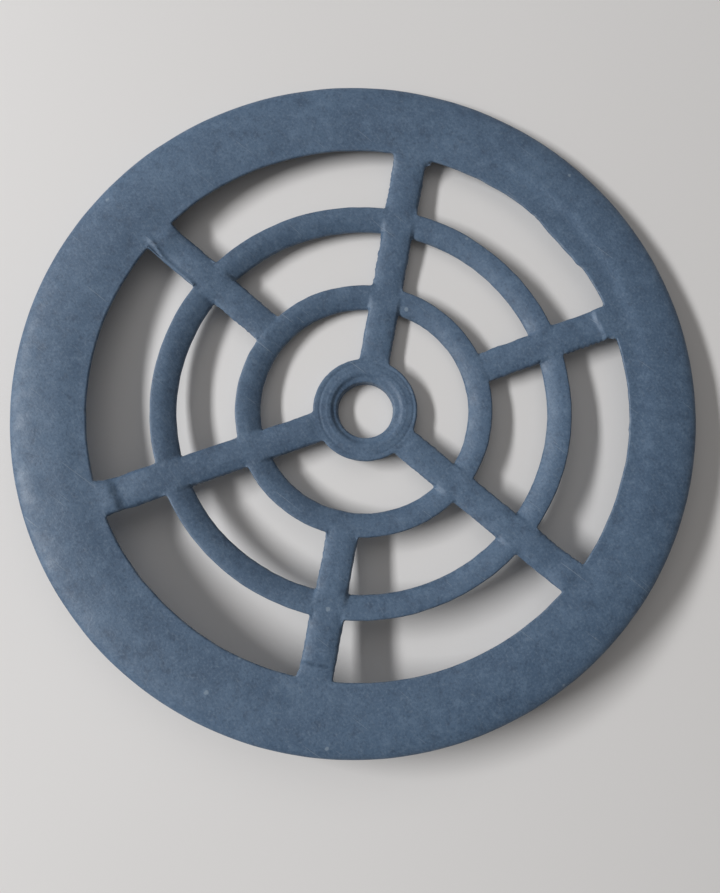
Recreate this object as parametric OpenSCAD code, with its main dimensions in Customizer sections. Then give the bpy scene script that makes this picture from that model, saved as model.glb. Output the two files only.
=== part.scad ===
// Round dished drain grate: a flat-seated rim, two rings and a hub, joined by six bars.
// The real grate is one iron casting. Here it is divided where its members meet, so that
// each member is a solid of its own and touches its neighbours face to face.
// Z = 0 is the underside of the hub, the lowest point. Bar number 1 lies along +Y.

/* [Rim] */
// Outside diameter of the rim
rim_d = 203; // [196:1:210]
// Width of the rim, from its outer edge to the slots
rim_w = 21.5; // [19:0.5:23]
// Height of the rim's flat seat above the underside of the hub
seat_z = 5; // [4:0.5:6]
// Height of the upright wall round the outside of the rim
edge_wall_h = 2.6; // [1.6:0.2:3]

/* [Dish] */
// Height of the rim's face above the hub's face
dish_h = 6.2; // [5.5:0.1:7]
// Thickness of the rings and bars
member_t = 3.4; // [3:0.1:3.4]
// Bevel along the top edges of the rings and bars
bevel = 0.8; // [0.4:0.1:1.2]

/* [Rings] */
// Diameter of the outer ring, measured on its middle
outer_ring_d = 118; // [114:0.5:120]
// Diameter of the inner ring, measured on its middle
inner_ring_d = 70; // [66:0.5:72]
// Width of both rings
ring_w = 7.3; // [6.5:0.1:8.5]

/* [Bars] */
// Width of the bars between the rim and the outer ring
outer_bar_w = 10; // [8:0.2:11]
// Width of the bars between the two rings
middle_bar_w = 9.4; // [8:0.2:10]
// Width of the bars between the inner ring and the hub
inner_bar_w = 9.2; // [8:0.2:10]
// How far the bars' tops lie below the tops of the rings
bar_drop = 0.3; // [0.2:0.1:0.4]
// Length of the rim's ears, which lap over the bars' outer ends
ear_l = 3.3; // [2:0.1:4]
// How far an ear stands out past each side of its bar
ear_lap = 0.2; // [0.1:0.1:0.5]
// Step from the rim's face down to an ear
ear_drop = 0.2; // [0.1:0.1:0.4]
// Step from an ear down to the bar under it
ear_step = 0.9; // [0.6:0.1:1.4]

/* [Hub] */
// Diameter of the hub
hub_d = 31.5; // [30:0.5:34]
// Thickness of the hub
hub_t = 4; // [4:0.1:4.5]
// Diameter of the lifting hole
hole_d = 16.5; // [14:0.5:17]
// Diameter of the shallow recess round the lifting hole
recess_d = 22.6; // [20:0.2:24]
// Depth of the recess at its outer edge
recess_depth = 0.5; // [0.3:0.1:0.8]
// Height of the straight wall in the lifting hole
hole_wall_h = 2.6; // [2:0.1:3]

/* [Hidden] */
$fn = 180;
iron_black = "#343b45";

rim_r = rim_d / 2;
rim_in_r = rim_r - rim_w;
rim_top_z = hub_t + dish_h;
edge_top_z = seat_z + edge_wall_h;
// The rim's face is level from the slots out to its crest, then falls to the outer wall
crest_r = rim_in_r + rim_w * 0.35;
rim_underside_bevel = 0.6;
shoulder_steps = 9;

hub_r = hub_d / 2;
hole_r = hole_d / 2;
recess_r = recess_d / 2;
// The recess floor slopes down from its edge to the lip of the hole
lip_r = hole_r + 0.85;
lip_z = hub_t - recess_depth - 0.3;
hub_underside_bevel = 0.5;

bar_count = 6;
inner_bar_count = 3;
// Each bar reaches this far into its neighbours before they are cut from it
bar_reach = 2;
// The ears start this far inside the rim, so that they are one solid with it
ear_root = 1.5;
// Height of a bar's top where it meets the rim
bar_end_z = rim_top_z - ear_drop - ear_step;

// Height of the dished face at radius r
function dish_z(r) = hub_t + dish_h * pow(r / rim_in_r, 2);

// Point of the rim's shoulder, a quarter ellipse from the crest (0) to the outer wall (90)
function shoulder_point(angle) = [
    crest_r + (rim_r - crest_r) * sin(angle),
    edge_top_z + (rim_top_z - edge_top_z) * cos(angle)
];

// One band of the dish: a ring with bevelled top edges whose face follows the dish
module dish_ring(mid_r) {
    r0 = mid_r - ring_w / 2;
    r1 = mid_r + ring_w / 2;
    rotate_extrude()
        polygon([
            [r0, dish_z(r0) - member_t],
            [r1, dish_z(r1) - member_t],
            [r1, dish_z(r1) - bevel],
            [r1 - bevel, dish_z(r1)],
            [r0 + bevel, dish_z(r0)],
            [r0, dish_z(r0) - bevel]
        ]);
}

// Straight bar with bevelled top edges, whose top middle line runs along +X
// from radius r0 at height z0 to radius r1 at height z1, and on past both ends
module sloping_bar(w, r0, z0, r1, z1) {
    slope = atan2(z1 - z0, r1 - r0);
    run = norm([r1 - r0, z1 - z0]);
    translate([r0, 0, z0])
        rotate([0, -slope, 0])
            translate([-bar_reach, 0, 0])
                rotate([90, 0, 90])
                    linear_extrude(run + 2 * bar_reach)
                        polygon([
                            [-w / 2, -member_t],
                            [w / 2, -member_t],
                            [w / 2, -bevel],
                            [w / 2 - bevel, 0],
                            [bevel - w / 2, 0],
                            [-w / 2, -bevel]
                        ]);
}

// Angle of bar number n, counted anticlockwise from +Y as seen from above
function bar_angle(n, count) = 90 + (n - 1) * 360 / count;

module rim_ear() {
    ear_w = outer_bar_w + 2 * ear_lap;
    translate([rim_in_r - ear_l, -ear_w / 2, bar_end_z - ear_step])
        cube([ear_l + ear_root, ear_w, 2 * ear_step]);
}

module rim() {
    color(iron_black) {
        rotate_extrude()
            polygon(concat(
                [[rim_in_r, seat_z], [rim_r - rim_underside_bevel, seat_z],
                 [rim_r, seat_z + rim_underside_bevel]],
                [for (i = [shoulder_steps : -1 : 0]) shoulder_point(90 * i / shoulder_steps)],
                [[rim_in_r, rim_top_z]]
            ));
        for (n = [1 : bar_count])
            rotate([0, 0, bar_angle(n, bar_count)])
                rim_ear();
    }
}

module outer_ring() {
    color(iron_black)
        dish_ring(outer_ring_d / 2);
}

module inner_ring() {
    color(iron_black)
        dish_ring(inner_ring_d / 2);
}

module hub() {
    color(iron_black)
        rotate_extrude()
            polygon([
                [hole_r, 0],
                [hub_r - hub_underside_bevel, 0],
                [hub_r, hub_underside_bevel],
                [hub_r, hub_t - bevel],
                [hub_r - bevel, hub_t],
                [recess_r + recess_depth, hub_t],
                [recess_r, hub_t - recess_depth],
                [lip_r, lip_z],
                [hole_r, hole_wall_h]
            ]);
}

// Bar n between the rim and the outer ring
module outer_bar(n) {
    r0 = (outer_ring_d + ring_w) / 2;
    color(iron_black)
        difference() {
            rotate([0, 0, bar_angle(n, bar_count)])
                sloping_bar(outer_bar_w, r0, dish_z(r0) - bar_drop,
                    rim_in_r, bar_end_z);
            rim();
            outer_ring();
        }
}

// Bar n between the two rings
module middle_bar(n) {
    r0 = (inner_ring_d + ring_w) / 2;
    r1 = (outer_ring_d - ring_w) / 2;
    color(iron_black)
        difference() {
            rotate([0, 0, bar_angle(n, bar_count)])
                sloping_bar(middle_bar_w, r0, dish_z(r0) - bar_drop,
                    r1, dish_z(r1) - bar_drop);
            outer_ring();
            inner_ring();
        }
}

// Bar n between the inner ring and the hub
module inner_bar(n) {
    r1 = (inner_ring_d - ring_w) / 2;
    color(iron_black)
        difference() {
            rotate([0, 0, bar_angle(n, inner_bar_count)])
                sloping_bar(inner_bar_w, hub_r, hub_t - bar_drop,
                    r1, dish_z(r1) - bar_drop);
            inner_ring();
            hub();
        }
}

rim();
outer_ring();
inner_ring();
hub();
outer_bar(1);  // outer_bar_1
outer_bar(2);  // outer_bar_2
outer_bar(3);  // outer_bar_3
outer_bar(4);  // outer_bar_4
outer_bar(5);  // outer_bar_5
outer_bar(6);  // outer_bar_6
middle_bar(1);  // middle_bar_1
middle_bar(2);  // middle_bar_2
middle_bar(3);  // middle_bar_3
middle_bar(4);  // middle_bar_4
middle_bar(5);  // middle_bar_5
middle_bar(6);  // middle_bar_6
inner_bar(1);  // inner_bar_1
inner_bar(2);  // inner_bar_2
inner_bar(3);  // inner_bar_3
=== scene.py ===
import math

import bpy
import bmesh
import numpy as np
from mathutils import Matrix, Vector


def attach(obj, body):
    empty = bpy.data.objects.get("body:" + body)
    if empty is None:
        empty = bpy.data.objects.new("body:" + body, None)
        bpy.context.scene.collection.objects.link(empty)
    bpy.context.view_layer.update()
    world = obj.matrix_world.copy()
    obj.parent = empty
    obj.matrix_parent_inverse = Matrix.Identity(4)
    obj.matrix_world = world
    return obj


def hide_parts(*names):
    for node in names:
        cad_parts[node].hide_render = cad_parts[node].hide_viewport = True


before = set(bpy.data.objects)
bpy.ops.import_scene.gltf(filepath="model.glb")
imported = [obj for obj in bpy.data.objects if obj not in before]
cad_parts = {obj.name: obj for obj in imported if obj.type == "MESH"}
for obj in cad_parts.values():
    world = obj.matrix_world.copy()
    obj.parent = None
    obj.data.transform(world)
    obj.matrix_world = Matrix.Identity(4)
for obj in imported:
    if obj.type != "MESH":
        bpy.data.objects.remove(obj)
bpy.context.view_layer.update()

# The grate's face is a height over x and y, with one formula for the rim, one for the hub, and
# one for the rings and bars. Each piece is the closed slab of metal between its stretch of the
# face and the underside. Lengths are in millimetres until solid() hands them to write_mesh(),
# which works in metres. Angles are in radians, unless a comment says degrees.

MM = 0.001
TURN = 2 * math.pi


# ---------------------------------------------------------------- measures from the frame

def cad_points(node):
    """The CAD node's points, in millimetres."""
    return np.array([v.co[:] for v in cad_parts[node].data.vertices]) / MM


def cad_radii(node):
    """The node's least and greatest distance from the grate's axis."""
    r = np.hypot(*cad_points(node)[:, :2].T)
    return r.min(), r.max()


def cad_width(node, angle):
    """A bar's width, across the direction that it lies in."""
    p = cad_points(node)
    return np.ptp(p[:, 1] * math.cos(angle) - p[:, 0] * math.sin(angle))


def cad_heights(node):
    z = cad_points(node)[:, 2]
    return z.min(), z.max()


HOLE_R, HUB_R = cad_radii("hub")
INNER_LO, INNER_HI = cad_radii("inner_ring")
OUTER_LO, OUTER_HI = cad_radii("outer_ring")
RIM_HI = cad_radii("rim")[1]
RIM_LO = cad_radii("outer_bar_1")[1]
SEAT_Z, RIM_TOP = cad_heights("rim")
HUB_TOP = cad_heights("hub")[1]
MEMBER_T = 3.4                          # thickness of the rings and bars

BAR_COUNT = 6
BAR_ONE_AT = 0.25                       # share of a turn: bar 1 lies along +Y
OUTER_BAR_W = cad_width("outer_bar_1", TURN * BAR_ONE_AT)
MIDDLE_BAR_W = cad_width("middle_bar_1", TURN * BAR_ONE_AT)
INNER_BAR_W = cad_width("inner_bar_1", TURN * BAR_ONE_AT)

# ---------------------------------------------------------------- the casting's small shapes

FILLET = 0.6                            # inside corners between bars and rings, in plan
TOP_ROUND = 0.55                        # rounding of the face's edges
LOW_ROUND = 0.5                         # rounding of the underside's edges
BAR_LEAN = 0.55                         # how far a bar's wall leans in under the face
RING_LEAN = 0.55                        # and a ring's
HUB_LEAN = 0.35
RIM_LEAN = 2.0
HOLE_LEAN = -0.2                        # the lifting hole narrows towards the underside instead
WEB_REACH = 1.7                         # a bar's webs start this far short of the rim
WEB_RUN = 1.5                           # and reach their full width in this length
BAR_UNEVEN = 0.055                      # how much a bar's edges waver
CROWN = 0.76                            # how far rings and bars fall from middle to edge
CROWN_AT_ENDS = 0.08                    # the same beside the rim and beside the hub
CROWN_REACH = 4.0
RIM_FADE = 4.0                          # what fades out before the rim does so in this length
HUB_FADE = 3.0
EDGE_INSET = 0.14                       # keeps the uneven outer edge inside the CAD size
FACE_INSET = 0.02                       # how far the hub's and dish's face starts under the CAD's
UNDER_RAISED = 0.25                     # the underside of rings and bars is raised by this much
UNDER_LUMPS_AT = 300                    # and takes its lumps from this far off along X
HOLE_EASE = 0.25                        # the lifting hole's edge is this much wider than the bore
LUMP_HEIGHT = 0.016                     # shallow unevenness of the sand-cast surface
LUMP_COUNT = 26
LUMP_LENGTHS = (5, 26)
NICK_SIZE = 0.22                        # nicks in the rim's inner edge

RIM_INNER_Z = RIM_TOP - 0.86            # rim's face beside the slots
RIM_CREST_Z = RIM_TOP - 0.08
CREST_R = RIM_LO + 0.42 * (RIM_HI - RIM_LO)
STEP_AT = 55                            # degrees: where the rim's inner band steps up sharply
STEP_SPREAD = 42                        # degrees: how far to each side it stays fairly sharp
STEP_NARROW = 3.1                       # width of the step there
STEP_WIDE = 9.2                         # and on the far side of the rim
SHOULDER_Z = 7.7                        # top of the rim's upright outer wall
SHOULDER_POWER = 3.2                    # 2 would make the shoulder an ellipse; more is flatter

# Each outer bar's ear at the rim: its length, how gradual its step is, its slant and raggedness
EARS = [
    (7.0, 7.0, 0.0, 0.1),
    (8.0, 8.0, 0.0, 0.1),
    (6.0, 3.2, 0.12, 0.15),
    (4.6, 1.1, 0.03, 0.3),
    (8.0, 8.0, 0.0, 0.1),
    (4.4, 1.0, 0.04, 0.2),
]
EAR_WAVES = (14.0, 7.0, 4.0)            # wavelengths of an ear's ragged step
BAR_SINK = 1.1                          # how far a bar has sunk below the dish at its ear
SUNK_BY = 0.93                          # share of the rim's inner radius where it has sunk so far
RING_TILT = 0.17                        # how much more a ring's face slopes than the dish
RING_FADE = 2.5                         # the tilt fades out in this length past a ring's edges
LONG_BAR_RISE = 0.24                    # bars that reach the hub stand proud of the rings
SHORT_BAR_RISE = 0.16
BAR_STEP = 0.55                         # width of the step from a bar's face to a ring's
BAR_FADE = 2.5                          # length in which a bar's inner end rises to its face

FLASH_HEIGHT = 0.5                      # of the fin of flash on bar 2, and of the lip beside it
FLASH_FROM = 1.5                        # both begin this far inside the outer ring's outer edge
FLASH_EASE = 2.0                        # length in which they rise and the fin dies away
FIN_INSET = 0.75                        # the fin begins this far in from the bar's edge
FIN_DRIFT = 1.7                         # and drifts this much farther in,
FIN_DRIFT_FROM = 7.0                    # from this far short of the rim
FIN_DRIFT_RUN = 8.5                     # and in this length
FIN_WIDTH = 0.42
FIN_PAST_RIM = 2.5                      # it runs this far on to the rim
LIP_INSET = 0.25                        # the lip's distance in from the bar's edge
LIP_WIDTH = 0.28

RECESS_R = 11.2                         # recess round the lifting hole
RECESS_DEPTH = 0.36
RECESS_STEP = 1.3                       # width of the step down into the recess
RECESS_SLOPE = 0.19
RECESS_SHIFT = (0.35, 0.3)              # the recess isn't quite concentric
RECESS_LIP = 0.08                       # height of the lip round the recess
RECESS_LIP_OUT = 0.7                    # the lip stands this far outside the recess
RECESS_LIP_WIDTH = 0.4
HUB_GROOVE_R = 14.2
HUB_GROOVE_DEPTH = 0.12
HUB_GROOVE_WIDTH = 0.3

# Mesh and shading
WEAR_REACH = 0.55                       # how far paint wear reaches from an edge
WALL_WEAR = 0.12                        # wear half way down a wall, 1 being the most
SHARP_FROM = math.radians(48)           # edges that turn more than this are shaded sharp
FLARE_STATIONS = 6                      # rows round each fillet at a bar's end


def smooth(x):
    """Smooth step from 0 to 1 as x goes from 0 to 1."""
    x = np.clip(x, 0, 1)
    return x * x * (3 - 2 * x)


def ripple(angle, seed, size):
    """Unevenness of a round wall, periodic in the angle: long waves with a little roughness."""
    rng = np.random.default_rng(seed)
    total = np.zeros_like(angle)
    for k in range(2, 90):
        weight = 1 / k ** 0.75
        total += weight * rng.normal() * np.cos(k * angle + rng.uniform(0, TURN))
    return size * total


def waver(x, seed, size, lengths=(17.0, 9.0, 5.0, 3.0, 1.8)):
    """Unevenness of a straight edge, along its length."""
    rng = np.random.default_rng(seed)
    total = np.zeros_like(x)
    for length in lengths:
        total += rng.normal() * np.cos(TURN * x / length + rng.uniform(0, TURN))
    return size * total / math.sqrt(2)


def chipped(angle, seed, size, centre, spread):
    """Angular nicks in a round wall, over one stretch of it."""
    rng = np.random.default_rng(seed)
    knots = np.sort(rng.uniform(0, TURN, 130))
    depth = rng.uniform(-1, 1, len(knots))
    away = (angle - centre + math.pi) % TURN - math.pi
    return size * np.interp(angle % TURN, knots, depth, period=TURN) * np.exp(-(away / spread) ** 2)


def bulge(angle, start, stop, size):
    """Metal left standing along a round wall between two angles in degrees. It begins abruptly
    and ends more gently."""
    a = np.degrees(angle)
    return size * smooth((a - start) / 2.2) * smooth((stop - a) / 9)


def lumps(x, y):
    """Shallow rise and fall of a sand-cast surface."""
    rng = np.random.default_rng(71)
    total = np.zeros_like(x)
    for _ in range(LUMP_COUNT):
        length = rng.uniform(*LUMP_LENGTHS)
        a = rng.uniform(0, TURN)
        phase = TURN * (x * math.cos(a) + y * math.sin(a)) / length + rng.uniform(0, TURN)
        total += np.cos(phase) * length / LUMP_LENGTHS[1]
    return LUMP_HEIGHT * total


def rim_damage(angle):
    """Two nicked stretches of the rim's inner edge, and the metal left standing along it."""
    nicks = chipped(angle, 29, NICK_SIZE, math.radians(50), math.radians(25))
    nicks = nicks + chipped(angle, 31, NICK_SIZE, math.radians(4), math.radians(16))
    return nicks - bulge(angle, 43, 62, 0.8) + bulge(angle, 33, 43, 0.35)


class Wall:
    """A round wall. side is +1 where its metal lies inside it and -1 where it lies outside.
    lean is how far the wall leans into its metal between the face and the underside, and
    damage gives any change of radius at an angle."""

    def __init__(self, radius, side, seed, uneven, lean, damage=None):
        self.radius, self.side, self.lean = radius, side, lean
        self.seed, self.uneven, self.damage = seed, uneven, damage

    def at(self, angle, depth=0.0):
        """The wall's radius, at a depth from 0 at the face to 1 at the underside."""
        r = self.radius + ripple(angle, self.seed, self.uneven)
        if self.damage:
            r = r + self.damage(angle)
        return r - self.side * self.lean * depth


HOLE = Wall(HOLE_R + HOLE_EASE, -1, 3, 0.03, HOLE_LEAN)
HUB_SIDE = Wall(HUB_R, 1, 5, 0.04, HUB_LEAN)
INNER_INSIDE = Wall(INNER_LO, -1, 7, 0.06, RING_LEAN)
INNER_OUTSIDE = Wall(INNER_HI, 1, 11, 0.06, RING_LEAN)
OUTER_INSIDE = Wall(OUTER_LO, -1, 13, 0.065, RING_LEAN)
OUTER_OUTSIDE = Wall(OUTER_HI, 1, 17, 0.065, RING_LEAN)
RIM_INSIDE = Wall(RIM_LO, -1, 19, 0.07, RIM_LEAN, rim_damage)
RIM_OUTSIDE = Wall(RIM_HI - EDGE_INSET, 1, 23, 0.02, 0.0)


class Bar:
    """One stretch of a radial bar between two round walls.

    webs is how far its left and right edges flare into the corners at the rim."""

    def __init__(self, node, number, count, width, lo, hi, webs=(0.0, 0.0)):
        self.node = node
        self.angle = TURN * (BAR_ONE_AT + number / count)
        self.half = width / 2
        self.lo, self.hi = lo, hi
        self.webs = webs
        self.seed = 100 + 10 * round(math.degrees(self.angle)) + lo.seed

    def across(self, x, y):
        """Position along and across the bar."""
        c, s = math.cos(self.angle), math.sin(self.angle)
        return x * c + y * s, y * c - x * s

    def half_width(self, along, side, depth=0.0):
        """Distance from the middle line to one edge, +1 being the edge on the left of a look
        outward along the bar."""
        web = self.webs[0 if side > 0 else 1] * smooth((along - RIM_LO + WEB_REACH) / WEB_RUN)
        wave = waver(along, self.seed + (side > 0), BAR_UNEVEN)
        return self.half + wave + web - BAR_LEAN * depth


def bars_between(name, count, width, lo, hi, webs=None):
    webs = webs or [(0.0, 0.0)] * count
    return [Bar(f"{name}_bar_{k + 1}", k, count, width, lo, hi, webs[k]) for k in range(count)]


# How far the left and right edges of each outer bar flare into the corners at the rim
RIM_WEBS = [(0.3, 1.6), (0.0, 0.2), (0.3, 0.5), (0.0, 0.3), (0.2, 0.0), (0.0, 0.9)]
OUTER_BARS = bars_between("outer", BAR_COUNT, OUTER_BAR_W, OUTER_OUTSIDE, RIM_INSIDE, RIM_WEBS)
MIDDLE_BARS = bars_between("middle", BAR_COUNT, MIDDLE_BAR_W, INNER_OUTSIDE, OUTER_INSIDE)
INNER_BARS = bars_between("inner", BAR_COUNT // 2, INNER_BAR_W, HUB_SIDE, INNER_INSIDE)
BAR_SETS = (OUTER_BARS, MIDDLE_BARS, INNER_BARS)


def edge_distance(x, y, depth, outside=False):
    """Distance from points in the metal to the nearest edge of a slot or of the lifting hole, at
    a depth.

    Each slot is bounded by two round walls and two bars, with a fillet in each corner.
    outside counts the grate's outer edge as well."""
    r, angle = np.hypot(x, y), np.arctan2(y, x)
    distance = r - HOLE.at(angle, depth)
    for bars in BAR_SETS:
        from_lo = r - bars[0].lo.at(angle, depth)
        from_hi = bars[0].hi.at(angle, depth) - r
        for first, second in zip(bars, bars[1:] + bars[:1]):
            along_a, across_a = first.across(x, y)
            along_b, across_b = second.across(x, y)
            gaps = (
                from_lo,
                from_hi,
                across_a - first.half_width(along_a, 1, depth),
                -across_b - second.half_width(along_b, -1, depth),
            )
            inside = sum(np.maximum(FILLET - gap, 0) ** 2 for gap in gaps)
            distance = np.minimum(distance, np.sqrt(inside) - FILLET)
    if outside:
        distance = np.minimum(distance, RIM_OUTSIDE.at(angle, depth) - r)
    return np.maximum(distance, 0)


def rounding(distance, radius):
    """Drop of a rounded edge at this distance from the wall."""
    inward = np.clip(1 - distance / radius, 0, 1)
    return radius * (1 - np.sqrt(np.maximum(1 - inward ** 2, 0)))


# ---------------------------------------------------------------- the face and the underside

def dish(r):
    """Height of the dish, from the hub's face up to the rim."""
    rise = (r ** 2 - HUB_R ** 2) / (RIM_LO ** 2 - HUB_R ** 2)
    return HUB_TOP - FACE_INSET + (RIM_TOP - HUB_TOP) * np.maximum(rise, 0)


def ring_tilt(r):
    """Each ring's face slopes inward a little more than the dish does."""
    tilt = np.zeros_like(r)
    for lo, hi in ((INNER_LO, INNER_HI), (OUTER_LO, OUTER_HI)):
        middle, half = (lo + hi) / 2, (hi - lo) / 2
        off = r - middle
        near = smooth((half + RING_FADE - np.abs(off)) / RING_FADE)
        tilt += RING_TILT * np.clip(off, -half, half) * near
    return tilt


def sunk(r):
    """How far the bars sink below the dish on their way to the rim."""
    return BAR_SINK * smooth((r - OUTER_HI) / (SUNK_BY * RIM_LO - OUTER_HI))


def rim_face(r, angle):
    """Level inner band, a soft crest, and a shoulder that falls to the outer wall."""
    outer = RIM_OUTSIDE.at(angle)
    away = (np.degrees(angle) - STEP_AT + 180) % 360 - 180
    width = STEP_WIDE - (STEP_WIDE - STEP_NARROW) * np.exp(-(away / STEP_SPREAD) ** 2)
    rise = smooth((r - CREST_R + width) / width)
    crest = RIM_INNER_Z + (RIM_CREST_Z - RIM_INNER_Z) * rise
    out = np.clip((r - CREST_R) / (outer - CREST_R), 0, 1)
    fall = np.sqrt(np.maximum(1 - out ** SHOULDER_POWER, 0))
    return SHOULDER_Z + (crest - SHOULDER_Z) * fall


def hub_face(x, y):
    """Flat ring with a faint groove, and a stepped recess that slopes down to the lifting hole."""
    r = np.hypot(x, y)
    near = np.hypot(x - RECESS_SHIFT[0], y - RECESS_SHIFT[1])
    in_recess = smooth((RECESS_R - near) / RECESS_STEP)
    drop = in_recess * (RECESS_DEPTH + RECESS_SLOPE * np.maximum(RECESS_R - r, 0))
    groove = HUB_GROOVE_DEPTH * np.exp(-((near - HUB_GROOVE_R) / HUB_GROOVE_WIDTH) ** 2)
    lip = RECESS_LIP * np.exp(-((near - RECESS_R - RECESS_LIP_OUT) / RECESS_LIP_WIDTH) ** 2)
    return HUB_TOP - FACE_INSET - drop - groove + lip


def bars_over(x, y, r, z):
    """Carries the bars across the rings, a little proud of them, and tilts the rings between."""
    relief, cover = np.zeros_like(r), np.zeros_like(r)
    for k, bar in enumerate(OUTER_BARS):
        along, across = bar.across(x, y)
        reaches_hub = k % 2 == 0
        start = HUB_R if reaches_hub else INNER_HI - BAR_FADE
        rise = LONG_BAR_RISE if reaches_hub else SHORT_BAR_RISE
        half = INNER_BAR_W / 2 + (OUTER_BAR_W - INNER_BAR_W) / 2 * (r / RIM_LO)
        beside = smooth((half - 0.1 - np.abs(across)) / BAR_STEP)
        on_bar = beside * smooth((along - start) / BAR_FADE)
        cover = np.maximum(cover, on_bar)
        before_rim = smooth((RIM_LO - RIM_FADE - r) / RIM_FADE)
        relief = np.maximum(relief, rise * on_bar * before_rim)
    return z + relief + ring_tilt(r) * (1 - cover)


def ears(x, y, z):
    """Raises the bars' outer ends to the rim's face, where the rim laps over them."""
    for bar, (length, step, slant, ragged) in zip(OUTER_BARS, EARS):
        along, across = bar.across(x, y)
        shift = slant * across + waver(across, bar.seed + 5, ragged, EAR_WAVES)
        share = smooth((along + shift - RIM_LO + length) / step) * (along > 0)
        z = np.where(np.abs(across) < 2 * bar.half, z + (RIM_INNER_Z - z) * share, z)
    return z


def flash(x, y):
    """A folded fin of flash left along one edge of bar 2, from the ring on to the rim."""
    bar = OUTER_BARS[1]
    along, across = bar.across(x, y)
    drift = FIN_DRIFT * smooth((along - RIM_LO + FIN_DRIFT_FROM) / FIN_DRIFT_RUN)
    path = bar.half - FIN_INSET - drift
    fin = np.exp(-((across - path) / FIN_WIDTH) ** 2)
    lip = FLASH_HEIGHT * np.exp(-((across - bar.half + LIP_INSET) / LIP_WIDTH) ** 2)
    begun = smooth((along - OUTER_HI + FLASH_FROM) / FLASH_EASE)
    left = smooth((RIM_LO + FIN_PAST_RIM - along) / FLASH_EASE)
    return begun * (FLASH_HEIGHT * fin * left + lip * (along < RIM_LO))


def face_height(x, y, kind):
    """Height of the face of a piece, whose kind is rim, hub or member, and the distance to the
    nearest edge. A member is a ring or a bar."""
    r, angle = np.hypot(x, y), np.arctan2(y, x)
    distance = edge_distance(x, y, 0.0)
    if kind == "rim":
        z = rim_face(r, angle)
    elif kind == "hub":
        z = hub_face(x, y)
    else:
        z = ears(x, y, bars_over(x, y, r, dish(r) - sunk(r)))
    near_rim = smooth((r - RIM_LO + RIM_FADE) / RIM_FADE)
    near_hub = smooth((HUB_R + HUB_FADE - r) / HUB_FADE)
    crown = CROWN - (CROWN - CROWN_AT_ENDS) * np.maximum(near_rim, near_hub)
    z = z - crown * np.clip(1 - distance / CROWN_REACH, 0, 1) ** 2
    z = np.minimum(z + flash(x, y) + lumps(x, y), RIM_TOP)
    return z - rounding(distance, TOP_ROUND), distance


def under_height(x, y, kind):
    """Height of the underside, with its own rounded edges."""
    distance = edge_distance(x, y, 1.0, outside=True)
    if kind == "rim":
        z = SEAT_Z
    elif kind == "hub":
        z = 0.0
    else:
        r = np.hypot(x, y)
        z = dish(r) - sunk(r) - MEMBER_T + UNDER_RAISED + lumps(x + UNDER_LUMPS_AT, y)
    return z + rounding(distance, LOW_ROUND), distance


# ---------------------------------------------------------------- meshes

def rounded_rows(count=5):
    """Offsets from an edge that space the rows evenly round its rounding."""
    turns = np.linspace(0, math.pi / 2, count + 1)
    return TOP_ROUND * (1 - np.cos(turns))


def solid(name, kind, plan, loops, wraps):
    """Makes a closed piece from plan(depth), the grid of x, y points at a depth from 0 at the
    face to 1 at the underside. kind is as in face_height().

    loops are the index pairs round the grid's open edges, and wraps says that the grid's
    first direction closes on itself."""
    top, middle, low = plan(0.0), plan(0.5), plan(1.0)
    top_z, top_edge = face_height(top[..., 0], top[..., 1], kind)
    low_z, low_edge = under_height(low[..., 0], low[..., 1], kind)
    n, m = top_z.shape
    points = [np.dstack([top, top_z]).reshape(-1, 3), np.dstack([low, low_z]).reshape(-1, 3)]
    edges = [np.exp(-top_edge / WEAR_REACH).ravel(), np.exp(-low_edge / WEAR_REACH).ravel()]
    faces = []
    for i in range(n if wraps else n - 1):
        for j in range(m - 1):
            a, b = i * m + j, (i + 1) % n * m + j
            faces.append((a, b, b + 1, a + 1))
            faces.append((n * m + a, n * m + a + 1, n * m + b + 1, n * m + b))
    start = 2 * n * m
    for loop in loops:
        rows, cols = np.array(loop).T
        z = 0.45 * top_z[rows, cols] + 0.55 * low_z[rows, cols]
        points.append(np.column_stack([middle[rows, cols], z]))
        edges.append(np.full(len(rows), WALL_WEAR))
        count = len(loop)
        flat = rows * m + cols
        for k in range(count):
            nxt = (k + 1) % count
            faces.append((flat[k], flat[nxt], start + nxt, start + k))
            faces.append((start + k, start + nxt, n * m + flat[nxt], n * m + flat[k]))
        start += count
    return write_mesh(name, np.concatenate(points) * MM, faces, np.concatenate(edges))


def write_mesh(name, points, faces, edges):
    """Makes the object, with its faces turned outward and its wear in the attribute edge."""
    mesh = bpy.data.meshes.new(name)
    mesh.from_pydata(points.tolist(), [], [tuple(int(v) for v in f) for f in faces])
    wear = mesh.attributes.new("edge", "FLOAT", "POINT")
    wear.data.foreach_set("value", edges.astype(np.float32))
    bm = bmesh.new()
    bm.from_mesh(mesh)
    bmesh.ops.remove_doubles(bm, verts=bm.verts, dist=1e-7)
    bmesh.ops.recalc_face_normals(bm, faces=bm.faces)
    if bm.calc_volume(signed=True) < 0:
        bmesh.ops.reverse_faces(bm, faces=bm.faces)
    bm.to_mesh(mesh)
    bm.free()
    mesh.polygons.foreach_set("use_smooth", [True] * len(mesh.polygons))
    mesh.set_sharp_from_angle(angle=SHARP_FROM)
    piece = bpy.data.objects.new(name, mesh)
    bpy.context.collection.objects.link(piece)
    return piece


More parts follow.
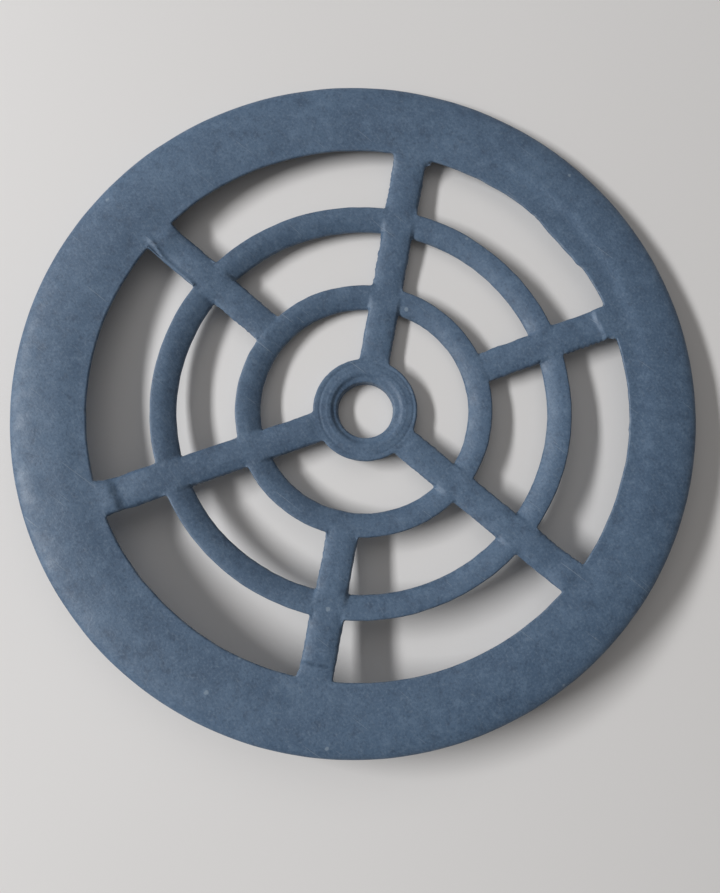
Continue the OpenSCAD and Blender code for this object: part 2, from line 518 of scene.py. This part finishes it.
def round_member(name, kind, lo, hi, columns, rows):
    """A whole ring between two walls. rows are shares of the way from lo to hi."""
    angle = np.linspace(0, TURN, columns, endpoint=False)

    def plan(depth):
        inner, outer = lo.at(angle, depth), hi.at(angle, depth)
        r = inner[:, None] + (outer - inner)[:, None] * rows[None, :]
        return np.dstack([r * np.cos(angle)[:, None], r * np.sin(angle)[:, None]])

    last = len(rows) - 1
    loops = [[(i, 0) for i in range(columns)], [(i, last) for i in range(columns)]]
    return solid(name, kind, plan, loops, wraps=True)


def even_rows(width, count):
    """Shares of the way across a member that is rounded on both edges."""
    edge = rounded_rows() / width
    return np.concatenate([edge, np.linspace(edge[-1], 1 - edge[-1], count)[1:-1], 1 - edge[::-1]])


def rim_rows(width):
    """Rows across the rim: its rounded inner edge, its flat, and its falling shoulder."""
    edge = rounded_rows() / width
    crest = (CREST_R - RIM_LO) / width
    shoulder = crest + (1 - crest) * np.sin(np.linspace(0, math.pi / 2, 13))
    return np.concatenate([edge, np.linspace(edge[-1], crest, 9)[1:-1], shoulder])


BAR_STATIONS = (34, 22, 22)             # between the fillets of each set of bars
BAR_COLUMNS = 18                        # across a bar's face, up to its rounded edges


def bar_stations(middle):
    """Stations along a bar: the share of the way out, the offset from the wall there, and the
    flare. In the fillet at each end the offset is a length, and between them it is None."""
    turn = np.linspace(0, math.pi / 2, FLARE_STATIONS)
    offsets = FILLET * (1 - np.cos(turn))
    flares = FILLET * (1 - np.sin(turn))
    start = [(0.0, offset, flare) for offset, flare in zip(offsets, flares)]
    between = [(share, None, 0.0) for share in np.linspace(0, 1, middle + 2)[1:-1]]
    end = [(1.0, -offset, flare) for offset, flare in zip(offsets[::-1], flares[::-1])]
    return start + between + end


def bar_row(bar, columns, depth, share, offset, flare):
    """One row of points across a bar, along an arc about the grate's axis."""
    edge = rounded_rows()
    lo_r, hi_r = bar.lo.radius, bar.hi.radius
    guess = np.array([lo_r + share * (hi_r - lo_r) + (offset or 0)])
    left = bar.half_width(guess, 1, depth)[0] + flare
    right = bar.half_width(guess, -1, depth)[0] + flare
    inside = np.linspace(edge[-1] - right, left - edge[-1], columns)[1:-1]
    across = np.concatenate([edge - right, inside, (left - edge)[::-1]])
    angle = bar.angle + np.arcsin(across / guess)
    lo, hi = bar.lo.at(angle, depth), bar.hi.at(angle, depth)
    if offset is None:
        r = lo + FILLET + share * (hi - lo - 2 * FILLET)
    else:
        r = (lo if share == 0 else hi) + offset
    along = np.sqrt(r ** 2 - across ** 2)
    c, s = math.cos(bar.angle), math.sin(bar.angle)
    return np.column_stack([along * c - across * s, along * s + across * c])


def grid_outline(n, m):
    """Index pairs round the edge of an n by m grid."""
    out = [(i, 0) for i in range(n)] + [(n - 1, j) for j in range(1, m)]
    back = [(i, m - 1) for i in range(n - 2, -1, -1)] + [(0, j) for j in range(m - 2, 0, -1)]
    return out + back


def bar_member(bar, middle, columns):
    """One stretch of bar. Its ends flare in fillets that meet the round walls, and its
    stations follow those walls, so that it ends exactly where its neighbours begin."""
    stations = bar_stations(middle)

    def plan(depth):
        return np.array([bar_row(bar, columns, depth, *station) for station in stations])

    loop = grid_outline(len(stations), 2 * len(rounded_rows()) + columns - 2)
    return solid(bar.node + "_casting", "member", plan, [loop], wraps=False)


# ---------------------------------------------------------------- materials

class Shader:
    """A little help for writing node trees."""

    def __init__(self, name):
        self.material = bpy.data.materials.new(name)
        self.material.use_nodes = True
        self.tree = self.material.node_tree
        self.bsdf = self.tree.nodes["Principled BSDF"]
        self.place = self.add("ShaderNodeTexCoord").outputs["Object"]

    def add(self, kind, **settings):
        made = self.tree.nodes.new(kind)
        for key, value in settings.items():
            setattr(made, key, value)
        return made

    def link(self, source, target):
        if isinstance(source, (int, float, tuple)):
            target.default_value = source
        else:
            self.tree.links.new(source, target)

    def noise(self, scale, detail=3.0, roughness=0.55, place=None):
        made = self.add("ShaderNodeTexNoise")
        made.inputs["Scale"].default_value = scale
        made.inputs["Detail"].default_value = detail
        made.inputs["Roughness"].default_value = roughness
        self.link(place or self.place, made.inputs["Vector"])
        return made.outputs["Fac"]

    def stretched(self, turn, scale):
        """Coordinates turned about Z by turn and stretched by scale."""
        spin = self.add("ShaderNodeMapping")
        spin.inputs["Rotation"].default_value = (0, 0, turn)
        self.link(self.place, spin.inputs["Vector"])
        pull = self.add("ShaderNodeMapping")
        pull.inputs["Scale"].default_value = scale
        self.link(spin.outputs["Vector"], pull.inputs["Vector"])
        return pull.outputs["Vector"]

    def span(self, value, low, high, out_low=0.0, out_high=1.0):
        """Maps value from low..high to out_low..out_high, smoothly and clamped."""
        made = self.add("ShaderNodeMapRange", interpolation_type="SMOOTHSTEP")
        for key, number in (("From Min", low), ("From Max", high),
                            ("To Min", out_low), ("To Max", out_high)):
            made.inputs[key].default_value = number
        self.link(value, made.inputs["Value"])
        return made.outputs["Result"]

    def math(self, operation, a, b):
        made = self.add("ShaderNodeMath", operation=operation)
        self.link(a, made.inputs[0])
        self.link(b, made.inputs[1])
        return made.outputs["Value"]

    def mix(self, share, a, b):
        """Colour a turned into colour b by share."""
        made = self.add("ShaderNodeMix", data_type="RGBA")
        self.link(share, made.inputs["Factor"])
        for source, target in ((a, made.inputs["A"]), (b, made.inputs["B"])):
            target = [s for s in made.inputs if s.name == target.name and s.type == "RGBA"][0]
            self.link(source, target)
        return [s for s in made.outputs if s.type == "RGBA"][0]

    def bump(self, height, distance, strength=1.0, normal=None):
        made = self.add("ShaderNodeBump")
        made.inputs["Distance"].default_value = distance
        made.inputs["Strength"].default_value = strength
        self.link(height, made.inputs["Height"])
        if normal is not None:
            self.link(normal, made.inputs["Normal"])
        return made.outputs["Normal"]


SCRATCH_TURN = math.radians(48)         # the scratches run from upper left to lower right
DARK_PAINT = (0.058, 0.101, 0.166, 1)
LIGHT_PAINT = (0.074, 0.124, 0.196, 1)
PALE_MOTTLE = (0.112, 0.172, 0.255, 1)
DARK_MOTTLE = (0.034, 0.060, 0.104, 1)
PALE_GRAIN = (0.135, 0.185, 0.25, 1)
DARK_GRAIN = (0.026, 0.046, 0.080, 1)
STREAK = (0.17, 0.215, 0.27, 1)
SCRATCH = (0.32, 0.37, 0.42, 1)
WORN_PAINT = (0.16, 0.20, 0.25, 1)
CHIP = (0.26, 0.32, 0.38, 1)


def paint_colour(s, mottle, grain):
    """The paint itself: broad blotches, then mottling, then grain, each lighter and darker."""
    blotches = s.span(s.noise(60, 4), 0.3, 0.7)
    colour = s.mix(blotches, DARK_PAINT, LIGHT_PAINT)
    colour = s.mix(s.span(mottle, 0.5, 0.7, 0, 0.6), colour, PALE_MOTTLE)
    colour = s.mix(s.span(mottle, 0.48, 0.3, 0, 0.6), colour, DARK_MOTTLE)
    colour = s.mix(s.span(grain, 0.5, 0.7, 0, 0.5), colour, PALE_GRAIN)
    return s.mix(s.span(grain, 0.48, 0.3, 0, 0.5), colour, DARK_GRAIN)


def edge_wear(s):
    """Where the paint has worn, in ragged patches along the edges."""
    edge = s.add("ShaderNodeAttribute", attribute_name="edge").outputs["Fac"]
    ragged = s.math("MULTIPLY", edge, s.span(s.noise(420, 4, 0.65), 0.35, 0.62))
    return s.span(ragged, 0.25, 0.85)


def chips(s, grain):
    """Where the paint has small chips, with ragged edges, in a few cells in a hundred."""
    cells = s.add("ShaderNodeTexVoronoi", feature="F1")
    cells.inputs["Scale"].default_value = 140
    s.link(s.place, cells.inputs["Vector"])
    ragged = s.math("ADD", cells.outputs["Distance"], s.math("MULTIPLY", grain, 0.16))
    pick = s.add("ShaderNodeSeparateColor")
    s.link(cells.outputs["Color"], pick.inputs["Color"])
    return s.math("MULTIPLY", s.span(ragged, 0.19, 0.15), s.span(pick.outputs["Red"], 0.93, 0.94))


def painted_iron():
    """Satin blue-black paint over sand-cast iron, mottled, scuffed and worn along its edges."""
    s = Shader("painted_iron")
    mottle = s.noise(270, 6, 0.68)
    grain = s.noise(1300, 3, 0.7)
    brushed = s.noise(1.0, 3, 0.6, s.stretched(SCRATCH_TURN, (260, 2600, 500)))
    fine = s.noise(1.0, 1, 0.5, s.stretched(SCRATCH_TURN - 0.35, (45, 2200, 300)))
    scratches = s.span(fine, 0.735, 0.78)
    worn = edge_wear(s)

    colour = paint_colour(s, mottle, grain)
    colour = s.mix(s.math("MULTIPLY", s.span(brushed, 0.52, 0.74), 0.22), colour, STREAK)
    colour = s.mix(s.math("MULTIPLY", scratches, 0.3), colour, SCRATCH)
    colour = s.mix(s.math("MULTIPLY", worn, 0.45), colour, WORN_PAINT)
    colour = s.mix(s.math("MULTIPLY", chips(s, grain), 0.5), colour, CHIP)
    s.link(colour, s.bsdf.inputs["Base Color"])

    rough = s.span(s.noise(240, 3), 0.3, 0.7, 0.49, 0.64)
    rough = s.math("SUBTRACT", rough, s.math("MULTIPLY", worn, 0.08))
    s.link(rough, s.bsdf.inputs["Roughness"])
    s.bsdf.inputs["Metallic"].default_value = 0.0
    s.bsdf.inputs["Specular IOR Level"].default_value = 0.5

    pitted = s.bump(mottle, 0.00022, 0.6)
    sandy = s.bump(grain, 0.00007, 0.9, pitted)
    scuffed = s.bump(s.math("ADD", brushed, scratches), 0.00003, 0.7, sandy)
    s.link(scuffed, s.bsdf.inputs["Normal"])
    return s.material


def pale_floor():
    s = Shader("pale_floor")
    soft = s.span(s.noise(3, 2), 0.3, 0.7)
    colour = s.mix(soft, (0.70, 0.68, 0.665, 1), (0.73, 0.71, 0.695, 1))
    s.link(colour, s.bsdf.inputs["Base Color"])
    s.bsdf.inputs["Roughness"].default_value = 0.75
    s.bsdf.inputs["Specular IOR Level"].default_value = 0.2
    return s.material


# ---------------------------------------------------------------- the grate

IRON = painted_iron()


def finish_piece(piece, node):
    piece.data.materials.append(IRON)
    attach(piece, "root")
    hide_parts(node)


def build_rings():
    outer_rows = even_rows(OUTER_HI - OUTER_LO, 9)
    inner_rows = even_rows(INNER_HI - INNER_LO, 9)
    rings = (
        ("rim", "rim", RIM_INSIDE, RIM_OUTSIDE, 840, rim_rows(RIM_HI - RIM_LO)),
        ("outer_ring", "member", OUTER_INSIDE, OUTER_OUTSIDE, 640, outer_rows),
        ("inner_ring", "member", INNER_INSIDE, INNER_OUTSIDE, 420, inner_rows),
        ("hub", "hub", HOLE, HUB_SIDE, 240, even_rows(HUB_R - HOLE_R, 26)),
    )
    for node, kind, lo, hi, columns, rows in rings:
        finish_piece(round_member(node + "_casting", kind, lo, hi, columns, rows), node)


def build_bars():
    for bars, middle in zip(BAR_SETS, BAR_STATIONS):
        for bar in bars:
            finish_piece(bar_member(bar, middle, BAR_COLUMNS), bar.node)


# ---------------------------------------------------------------- stage, light and camera

def build_floor():
    """The hub is the grate's lowest part, so the grate rocks over until its rim touches the
    floor too. The floor is tilted to lie where the grate's frame then has it."""
    lean_to = math.radians(86)
    hub_bevel, rim_bevel = 0.5, 0.6     # the CAD's, round the underside
    hub_edge, rim_edge = HUB_R - hub_bevel, RIM_HI - rim_bevel
    slope = math.atan2(SEAT_Z, rim_edge - hub_edge)
    mesh = bpy.data.meshes.new("floor")
    bm = bmesh.new()
    bmesh.ops.create_grid(bm, x_segments=8, y_segments=8, size=4.0)
    bm.to_mesh(mesh)
    bm.free()
    floor = bpy.data.objects.new("floor", mesh)
    bpy.context.collection.objects.link(floor)
    axis = Vector((math.sin(lean_to), -math.cos(lean_to), 0))
    hinge = Vector((math.cos(lean_to), math.sin(lean_to), 0)) * (hub_edge * MM)
    turn = Matrix.Rotation(slope, 4, axis)
    floor.matrix_world = Matrix.Translation(hinge) @ turn @ Matrix.Translation(-hinge)
    mesh.materials.append(pale_floor())


def build_camera():
    """Above the grate and a little in front of it, looking down and towards its far side."""
    data = bpy.data.cameras.new("camera")
    camera = bpy.data.objects.new("camera", data)
    bpy.context.collection.objects.link(camera)
    data.sensor_width = 36
    data.lens = 34.3
    data.shift_x, data.shift_y = -0.111, 0.009
    ahead = Vector((0.0657, 0.1413, -0.9878)).normalized()
    right = Vector((0.9829, 0.1618, 0.0885))
    right = (right - ahead * right.dot(ahead)).normalized()
    up = right.cross(ahead)
    place = Vector((13.3, -45.1, 258.9)) * MM
    turn = Matrix((right, up, -ahead)).transposed().to_4x4()
    camera.matrix_world = Matrix.Translation(place) @ turn
    data.clip_start, data.clip_end = 0.005, 50
    bpy.context.scene.camera = camera


def area_light(name, direction, distance, size, energy, colour):
    data = bpy.data.lights.new(name, "AREA")
    data.shape = "RECTANGLE"
    data.size, data.size_y = size
    data.energy = energy
    data.color = colour
    lamp = bpy.data.objects.new(name, data)
    bpy.context.collection.objects.link(lamp)
    towards = Vector(direction).normalized()
    lamp.location = towards * distance
    lamp.rotation_euler = towards.to_track_quat("Z", "Y").to_euler()


def compass(azimuth, elevation):
    a, e = math.radians(azimuth), math.radians(elevation)
    return (math.cos(a) * math.cos(e), math.sin(a) * math.cos(e), math.sin(e))


def build_light():
    """A window low on the left, a broad soft light over the far side, and the even light of a
    pale room."""
    area_light("window", compass(189, 36), 1.6, (1.0, 0.18), 27.5, (0.97, 0.985, 1.0))
    area_light("room", compass(100, 58), 1.6, (1.6, 1.2), 3.6, (0.95, 0.97, 1.0))
    world = bpy.data.worlds.new("room")
    world.use_nodes = True
    sky = world.node_tree.nodes["Background"]
    sky.inputs["Color"].default_value = (1.0, 0.97, 0.94, 1)
    sky.inputs["Strength"].default_value = 0.172
    bpy.context.scene.world = world
    bpy.context.scene.view_settings.view_transform = "Standard"


build_camera()
build_rings()
build_bars()
build_floor()
build_light()
